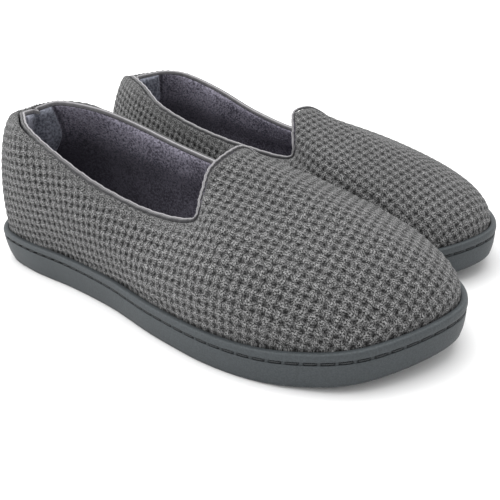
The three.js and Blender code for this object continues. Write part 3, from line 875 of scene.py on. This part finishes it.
def makeOutsole(side):
    # rings up the wall: tread edge, slanted wall, stitch groove, rolled lip, cup inside; round
    # edges are quarter circles and the wall's lean eases out with the power of 1.5
    u = np.arange(sole["columns"]) / sole["columns"]
    x = plan(u)[:, 0]
    slope = wallSlope(x)
    zGroove, zLip, zGround = groove(x), lip(x), spring(x)
    half = sole["grooveHeight"] / 2
    bridge = bridgeAt(u) * smooth(0.16, 0.24, fromHeel(u))
    depth = sole["grooveDepth"] * (1 - outsole["bridged"] * bridge)
    rings, wearAndHighlight, dirtAndShade = [], [], []

    def ring(inset, z, wornAndLit=0.0, dirtAndShadeShare=0.0):
        base = plan(u) - planOut(u) * np.broadcast_to(inset, u.shape)[:, None]
        rings.append(np.c_[base, np.broadcast_to(z, u.shape)])
        wearAndHighlight.append(np.full(u.shape, wornAndLit))
        dirtAndShade.append(dirtAndShadeShare * (1 - 0.8 * bridge))

    def sheet(inset, above, shares):
        # rings drawn in to the centre line, or out from it, at one height over the ground
        for share in shares:
            ring(inset, zGround + above)
            rings[-1] = spine(rings[-1], share)
            rings[-1][:, 2] = spring(rings[-1][:, 0]) + above

    foot, mouth = outsole["bottomRound"], outsole["mouth"]
    border = slope + foot + outsole["border"]
    sheet(border, outsole["hollow"], np.linspace(1, 0, outsole["hollowRings"]))
    ring(border - 1, zGround + outsole["hollow"])
    ring(border - 1.4, zGround + 0.4)
    ring(border - 1.7, zGround)
    for turn in np.radians((0, 22, 45, 67, 90)):
        rise = foot * (1 - np.cos(turn))
        ring(slope + foot * (1 - np.sin(turn)), zGround + rise, 0.45 * math.sin(2 * turn), 0.2)
    low, high = zGroove - half, zGroove + half
    # the wall pales a little upwards, a painted highlight
    for share in np.linspace(0.1, 1, 10):
        belly = outsole["belly"] * np.sin(np.pi * share) * (1 - share)
        rise = (low - 0.25 - zGround - foot) * share
        ring(slope * (1 - share) ** 1.5 - belly, zGround + foot + rise, 0.1 * share)
    # the groove's edges take painted highlight and its inside painted shade
    ring(0.08, low - 0.08, 0.5)
    ring(mouth, low, 0.2, 0.5)
    for share, within in ((0.45, 0.05), (0.8, 0.05), (1, 0.25)):
        ring(depth * share + mouth * (1 - share), low + within, 0, 1)
    for share, within in ((1, 0.25), (0.8, 0.05), (0.45, 0.05)):
        ring(depth * share + mouth * (1 - share), high - within, 0, 1)
    ring(mouth, high, 0.2, 0.5)
    ring(0.06, high + 0.1, 0.5)
    edge = outsole["lipRound"]
    for share in (0.25, 0.5, 0.75, 1):
        bulge = outsole["bulge"] * math.sin(math.pi * share)
        ring(-bulge, high + (zLip - edge - high) * share, 0.15)
    # painted highlight grows over the lip's round to its top
    for turn in np.radians((18, 36, 54, 72, 90)):
        rise = edge * np.sin(turn)
        ring(edge * (1 - np.cos(turn)), zLip - edge + rise, 0.85 * math.sin(turn) ** 2)
    wide = sole["lipWidth"]
    ring(wide - 0.5, zLip - 0.05, 0.5)
    ring(wide - 0.1, zLip - 0.3, 0.1, 0.6)
    ring(wide, zLip - 0.9, 0, 1)
    ring(wide, zGround + sole["floor"] + 0.5)
    sheet(wide + 0.4, sole["floor"], np.linspace(0, 1, outsole["cupRings"]))
    return gridMesh(side + "_cup_sole", side, np.stack(rings, 1), closedColumns=True,
                    extra={"wearAndHighlight": np.stack(wearAndHighlight, 1), "dirtAndShade": np.stack(dirtAndShade, 1)}, weld=True)


tread = {
    "pitch": 12, "groove": 2.6, "depth": 1.6, "margin": 9, "wall": 0.25, "inset": 4.3, "thick": 2.4,
    "heelRound": 8, "toeRound": 12, "lines": 90,
}


def halfWidths(x):
    # lateral and medial reach of the outline at each x
    u = np.linspace(0, 0.5, 600)
    lateral, medial = plan(u), plan(1 - u)
    return np.interp(x, lateral[:, 0], lateral[:, 1]), np.interp(x, medial[:, 0], medial[:, 1])


def makeTread(side):
    # a flat tread inside the sole's edge, its ends drawn in as circles are, with straight
    # grooves across that stop short of its edge
    inset, end = sole["slopeSide"] + tread["inset"], sole["slopeSide"] + tread["inset"] + 1
    reach = (end + sole["slopeHeel"], sole["length"] - end)
    lines = np.linspace(*reach, tread["lines"])
    centres = np.arange(2 * tread["pitch"], sole["springStart"] - tread["pitch"], tread["pitch"])
    half, wall = tread["groove"] / 2, tread["wall"]
    offsets = (-half, -half + wall, half - wall, half)
    walls = np.concatenate([centres + offset for offset in offsets])
    lines = lines[np.abs(lines[:, None] - centres).min(1) > half + 0.3]
    x = np.sort(np.r_[lines, walls])
    inGroove = (np.abs(x[:, None] - centres).min(1) < half - wall / 2).astype(float)
    lateral, medial = halfWidths(x)
    fromStart = ((x - reach[0]) / tread["heelRound"] - 1).clip(-1, 0)
    fromEnd = ((x - reach[1]) / tread["toeRound"] + 1).clip(0, 1)
    rounded = np.minimum(np.sqrt(1 - fromStart ** 2), np.sqrt(1 - fromEnd ** 2))
    middle = (lateral + medial) / 2
    wide = (medial - lateral) / 2 - inset - wallSlope(x) + sole["slopeSide"]
    wide = np.maximum(wide * rounded, 0.5)
    grooved = np.maximum(wide - tread["margin"] + inset, 0.2)
    rows = [(middle - wide, 0), (middle - grooved - wall, 0)]
    rows += [(middle + share * grooved, inGroove) for share in np.linspace(-1, 1, 9)]
    rows += [(middle + grooved + wall, 0), (middle + wide, 0)]
    bottom = np.stack([np.c_[x, y, spring(x) + sunk * tread["depth"]] for y, sunk in rows], 1)
    top = bottom[:, ::-1].copy()
    top[..., 2] = spring(top[..., 0]) + tread["thick"]
    points = np.concatenate([bottom, top], 1)
    piece = gridMesh(side + "_tread", side, points, closedRows=True, caps=True, flip=True)
    piece.data.shade_flat()
    return piece


def rubberMaterial():
    # fine grain and slow clouds over the rubber, paler with wear on the bottom edge and with
    # painted highlight on the lip and the groove's edges, darker with some dirt on the bottom edge
    # and with painted shade in the groove and under the lip
    n = Nodes("soleRubber")
    where = n.where()
    grain = n.noise(where, outsole["grain"], 2, 0.6)
    cloud = n.noise(where, outsole["cloud"], 3, 0.55)
    wornAndLit = n.math("MULTIPLY", n.attribute("wearAndHighlight"), 0.75)
    # wear and painted highlight
    colour = n.mix(wornAndLit, outsole["colour"], outsole["wornAndLit"])
    # dirt and painted shade
    colour = n.mix(n.attribute("dirtAndShade"), colour, outsole["dirtAndShade"])
    colour = n.mix(0.3, colour, n.ramp(cloud, (0.3, 0.42), (0.7, 0.62)), "OVERLAY")
    colour = n.mix(0.35, colour, n.ramp(grain, (0.38, 0.25), (0.62, 0.75)), "OVERLAY")
    rough = n.math("MULTIPLY_ADD", cloud, 0.2, 0.48)
    normal = n.bump(grain, 0.45, 0.0003)
    return n.finish(colour, rough, normal, Specular_IOR_Level=0.35)


def makeStitches(side):
    # one round thread in the groove, thinner and deeper in the rubber between stitches
    u = np.arange(stitch["columns"]) / stitch["columns"]
    run = lengthRound(u) / stitch["pitch"] % 1
    near = np.minimum(run, 1 - run) * stitch["pitch"]
    dive = stitch["dive"] * smooth(stitch["bridge"] * 1.2, 0.2, near)
    base = plan(u) - planOut(u) * (stitch["sunk"] + dive)[:, None]
    centre = np.c_[base, groove(base[:, 0])]
    out = np.c_[planOut(u), np.zeros(len(u))]
    angle = np.arange(stitch["sides"]) / stitch["sides"] * 2 * np.pi
    swell = stitch["radius"] * (1 - 0.25 * bell(near, 0.8))
    upwards = np.array([0, 0, 1])
    spokes = out[:, None] * np.cos(angle)[:, None] + upwards * np.sin(angle)[:, None]
    points = centre[:, None] + spokes * swell[:, None, None]
    along = lengthRound(np.r_[u, 1.0])
    girth = np.arange(stitch["sides"] + 1) / stitch["sides"]
    uv = np.stack(grid(along, girth), -1)
    return gridMesh(side + "_sole_stitches", side, points, uv, closedRows=True, closedColumns=True)


def threadMaterial():
    # the twist is a sine of the way along plus the way around; its lighter stripe is a painted
    # highlight
    n = Nodes("waxedThread")
    along, around = n.split(n.weave())
    turns = n.math("MULTIPLY", around, 2 * math.pi)
    twist = n.math("SINE", n.math("ADD", n.math("MULTIPLY", along, 9), turns))
    colour = n.mix(n.math("MULTIPLY_ADD", twist, 0.5, 0.5), stitch["colour"], stitch["paintedHighlight"])
    return n.finish(colour, 0.6, n.bump(twist, 0.6, 0.0002))


structure = {
    "cells": 900, "foamDark": (0.42, 0.4, 0.34), "foamLight": (0.6, 0.58, 0.5),
    "fibres": 500, "boardDark": (0.25, 0.17, 0.09), "boardLight": (0.42, 0.31, 0.18),
}


def foamMaterial():
    # pale foam, lighter with the distance from each cell's middle
    n = Nodes("closedCellFoam")
    cells = n.fix(n.add("ShaderNodeTexVoronoi"), Scale=structure["cells"])
    n.plug(cells.inputs["Vector"], n.where())
    apart = cells.outputs["Distance"]
    colour = n.ramp(apart, (0.1, structure["foamDark"]), (0.6, structure["foamLight"]))
    return n.finish(colour, 0.9, n.bump(apart, 0.4, 0.0004))


def boardMaterial():
    # tan board, mottled by rough noise
    n = Nodes("fibreBoard")
    fibres = n.noise(n.where(), structure["fibres"], 5, 0.7)
    colour = n.ramp(fibres, (0.35, structure["boardDark"]), (0.65, structure["boardLight"]))
    return n.finish(colour, 0.85, n.bump(fibres, 0.3, 0.0003))


def dressNode(name, material):
    # a hidden part keeps its solid and gets a real finish
    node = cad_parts[name]
    node.data.materials.clear()
    node.data.materials.append(material)


materials = {
    "knit": knitMaterial(),
    "piping": pipingMaterial(),
    "lining": velourMaterial("liningVelour", lining["dark"], lining["light"], lining["pile"]),
    "grip": velourMaterial("heelPlush", grip["dark"], grip["light"], grip["pile"]),
    "rubber": rubberMaterial(),
    "thread": threadMaterial(),
    "foam": foamMaterial(),
    "board": boardMaterial(),
}

for side in ("right", "left"):
    finishPiece(makeKnit(side), materials["knit"], "knit", side + "_knit_upper")
    print(side, "upper knitted")
    finishPiece(makePiping(side), materials["piping"], "piping", side + "_collar_piping")
    end = lining["endColumn"]
    collar = makeLining(side, "_collar_lining", -end, end, lining["columns"])
    finishPiece(collar, materials["lining"], "lining_velour",
                side + "_quarter_lining", side + "_collar_foam")
    vamp = makeLining(side, "_toe_lining", end, 1 - end, lining["columns"] // 2)
    finishPiece(vamp, materials["lining"], "lining_velour", side + "_vamp_lining")
    heelGrip = finishPiece(makeGrip(side), materials["grip"], "grip_plush", side + "_heel_grip")
    insole = finishPiece(makePad(side), materials["lining"], "lining_velour",
                         side + "_sock_liner", side + "_footbed")
    print(side, "lined and padded")
    finishPiece(makeOutsole(side), materials["rubber"], "sole_rubber", side + "_outsole")
    treadPiece = makeTread(side)
    treadPiece.data.materials.append(materials["rubber"])
    finishPiece(makeStitches(side), materials["thread"], "thread", side + "_sole_stitch")
    dressNode(side + "_midsole", materials["foam"])
    for board in ("_insole_board", "_heel_counter", "_toe_puff"):
        dressNode(side + board, materials["board"])
    print(side, "soled")


studio = {
    "floorSize": 8, "floorDark": 0.85, "floorLight": 0.87,
    "sky": (1, 1, 1), "skyStrength": 1.06, "aim": (0, 0, 0.03),
    "key": {"at": (-0.3, 0.15, 1.5), "size": 2.2, "power": 26},
    "fill": {"at": (-1.0, -0.9, 0.7), "size": 1.4, "power": 9},
}


def makeFloor():
    # a wide pale square at z = 0
    half = studio["floorSize"] / 2
    corners = [(-half, -half, 0), (half, -half, 0), (half, half, 0), (-half, half, 0)]
    mesh = bpy.data.meshes.new("floor")
    mesh.from_pydata(corners, [], [(0, 1, 2, 3)])
    floor = newObject("floor", mesh)
    n = Nodes("paleFloor")
    cloud = n.noise(n.where(), 3, 2)
    shade = n.ramp(cloud, (0, studio["floorDark"]), (1, studio["floorLight"]))
    mesh.materials.append(n.finish(shade, 0.9))


def makeLight(name, at, size, power):
    # a round lamp that faces the slippers' middle
    data = bpy.data.lights.new(name, "AREA")
    data.shape, data.size, data.energy = "DISK", size, power
    lamp = newObject(name, data)
    lamp.location = at
    towards = Vector(studio["aim"]) - Vector(at)
    lamp.rotation_euler = towards.to_track_quat("-Z", "Y").to_euler()


view = {
    "at": (343.5, -239.4, 164.2), "yaw": 36.59, "down": 24.32, "roll": -1.97,
    "lens": 50.4, "sensor": 36,
}


def makeCamera():
    # the eye's place is measured from the right slipper's heel; its axes come from turning by
    # yaw, then down, then rolling about the way it looks
    yaw, down, roll = (math.radians(view[k]) for k in ("yaw", "down", "roll"))
    level = math.cos(down)
    ahead = Vector((-math.sin(yaw) * level, math.cos(yaw) * level, -math.sin(down)))
    right = Vector((math.cos(yaw), math.sin(yaw), 0))
    above = right.cross(ahead)
    rolledRight = right * math.cos(roll) + above * math.sin(roll)
    rolledUp = above * math.cos(roll) - right * math.sin(roll)
    axes = Matrix((rolledRight, rolledUp, -ahead)).transposed().to_4x4()
    data = bpy.data.cameras.new("camera")
    data.lens, data.sensor_width = view["lens"], view["sensor"]
    camera = newObject("camera", data)
    x, y, z = view["at"]
    shiftX, shiftY = shifts["right"]
    eye = Vector((x + shiftX, y + shiftY, z)) * mm
    camera.matrix_world = Matrix.Translation(eye) @ axes
    bpy.context.scene.camera = camera


makeFloor()
makeLight("keyLight", **studio["key"])
makeLight("fillLight", **studio["fill"])
makeCamera()
world = bpy.data.worlds.new("softStudio")
world.use_nodes = True
background = world.node_tree.nodes["Background"]
background.inputs["Color"].default_value = (*studio["sky"], 1)
background.inputs["Strength"].default_value = studio["skyStrength"]
bpy.context.scene.world = world
bpy.context.scene.view_settings.view_transform = "Standard"
print("studio set")
